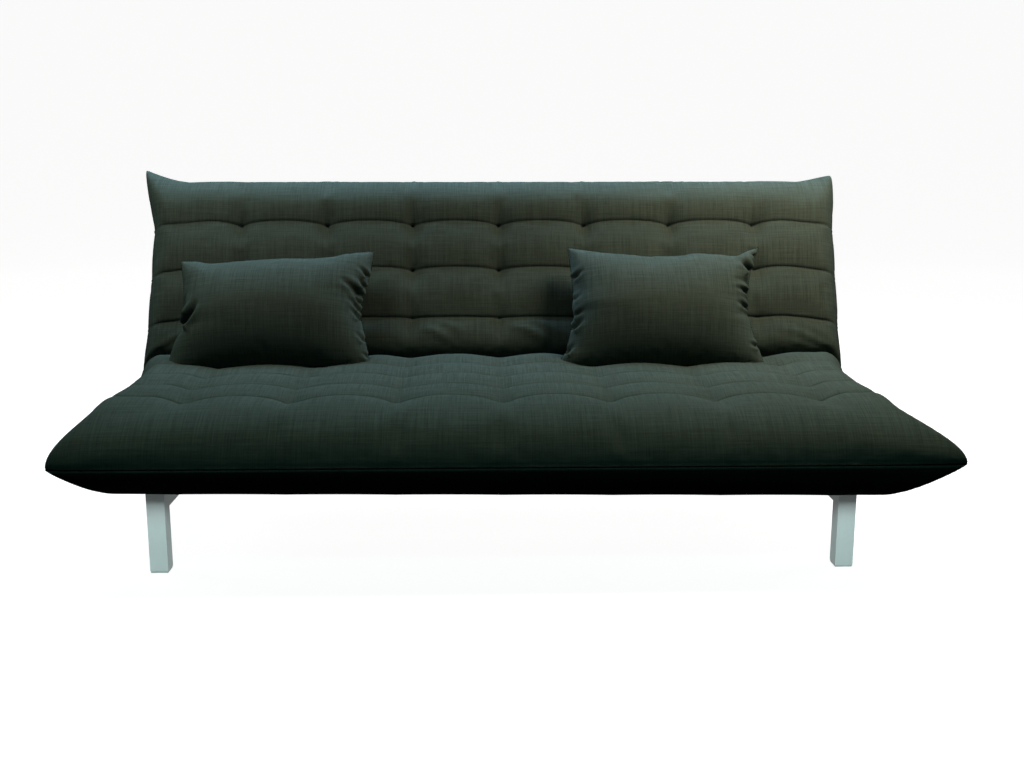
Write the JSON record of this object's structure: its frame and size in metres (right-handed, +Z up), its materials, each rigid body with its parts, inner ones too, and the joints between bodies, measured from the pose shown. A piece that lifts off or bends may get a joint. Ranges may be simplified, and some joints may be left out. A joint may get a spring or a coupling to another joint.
{
  "type": "futon sofa bed",
  "caption": "Click-clack futon sofa bed: a quilted folding mattress on a slatted steel frame whose back reclines flat to a bed, with loose lumbar cushions.",
  "frame": {"origin": "on the floor under the middle of the object's box", "axes": "+X along the sofa, to the right when seen from the front; +Y towards the back; +Z up"},
  "size_m": [2, 1.0904, 0.8617],
  "materials": {
    "leg_paint": "satin pale silver-green lacquer",
    "frame_paint": "satin black powder coat",
    "beech": "lacquered laminated beech",
    "mattress_linen": "slubby linen weave",
    "cushion_linen": "slubby linen weave",
    "zinc": "zinc plated",
    "pale_plastic": "moulded, pale grey",
    "rubber": "matt"
  },
  "bodies": {
    "base": {"left_leg_frame": "leg_paint", "right_leg_frame": "leg_paint", "front_left_foot": "pale_plastic", "front_right_foot": "pale_plastic", "rear_left_foot": "pale_plastic", "rear_right_foot": "pale_plastic", "front_stretcher": "frame_paint", "rear_stretcher": "frame_paint", "front_left_seat_bolt": "zinc", "front_right_seat_bolt": "zinc", "rear_left_seat_bolt": "zinc", "rear_right_seat_bolt": "zinc", "left_front_stretcher_bolt": "zinc", "right_front_stretcher_bolt": "zinc", "left_rear_stretcher_bolt": "zinc", "right_rear_stretcher_bolt": "zinc", "seat_front_rail": "frame_paint", "seat_rear_rail": "frame_paint", "seat_left_rail": "frame_paint", "seat_right_rail": "frame_paint", "seat_slat_1": "beech", "seat_slat_2": "beech", "seat_slat_3": "beech", "seat_slat_4": "beech", "seat_slat_5": "beech", "seat_slat_6": "beech", "seat_slat_7": "beech", "seat_slat_8": "beech", "seat_slat_9": "beech", "seat_slat_10": "beech", "left_hinge_seat_plate": "zinc", "right_hinge_seat_plate": "zinc", "left_hinge_rivet": "zinc", "right_hinge_rivet": "zinc", "left_stop_buffer": "rubber", "right_stop_buffer": "rubber", "seat_mattress": "mattress_linen"},
    "back": {"back_bottom_rail": "frame_paint", "back_top_rail": "frame_paint", "back_left_rail": "frame_paint", "back_right_rail": "frame_paint", "back_support_bar": "frame_paint", "back_slat_1": "beech", "back_slat_2": "beech", "back_slat_3": "beech", "back_slat_4": "beech", "back_slat_5": "beech", "back_slat_6": "beech", "back_slat_7": "beech", "back_slat_8": "beech", "back_slat_9": "beech", "back_slat_10": "beech", "left_hinge_ratchet_arm": "zinc", "right_hinge_ratchet_arm": "zinc", "back_mattress": "mattress_linen"},
    "left_pawl": {"left_hinge_pawl": "zinc"},
    "right_pawl": {"right_hinge_pawl": "zinc"},
    "left_cushion": {"left_cushion": "cushion_linen"},
    "right_cushion": {"right_cushion": "cushion_linen"}
  },
  "joints": [
    {"name": "back_recline", "type": "hinge", "parent": "base", "child": "back", "pos_m": [0, 0.32279, 0.206], "axis": [-1, 0, 0], "range_deg": [0, 69.5]},
    {"name": "left_pawl_swing", "type": "hinge", "parent": "base", "child": "left_pawl", "pos_m": [-0.83675, 0.26799, 0.20211], "axis": [1, 0, 0], "range_deg": [0, 11.5]},
    {"name": "right_pawl_swing", "type": "hinge", "parent": "base", "child": "right_pawl", "pos_m": [0.83675, 0.26799, 0.20211], "axis": [1, 0, 0], "range_deg": [0, 11.5]},
    {"name": "left_cushion_lift", "type": "slide", "parent": "back", "child": "left_cushion", "axis": [0, 0, 1], "range_m": [0, 0.3]},
    {"name": "right_cushion_lift", "type": "slide", "parent": "back", "child": "right_cushion", "axis": [0, 0, 1], "range_m": [0, 0.3]}
  ]
}
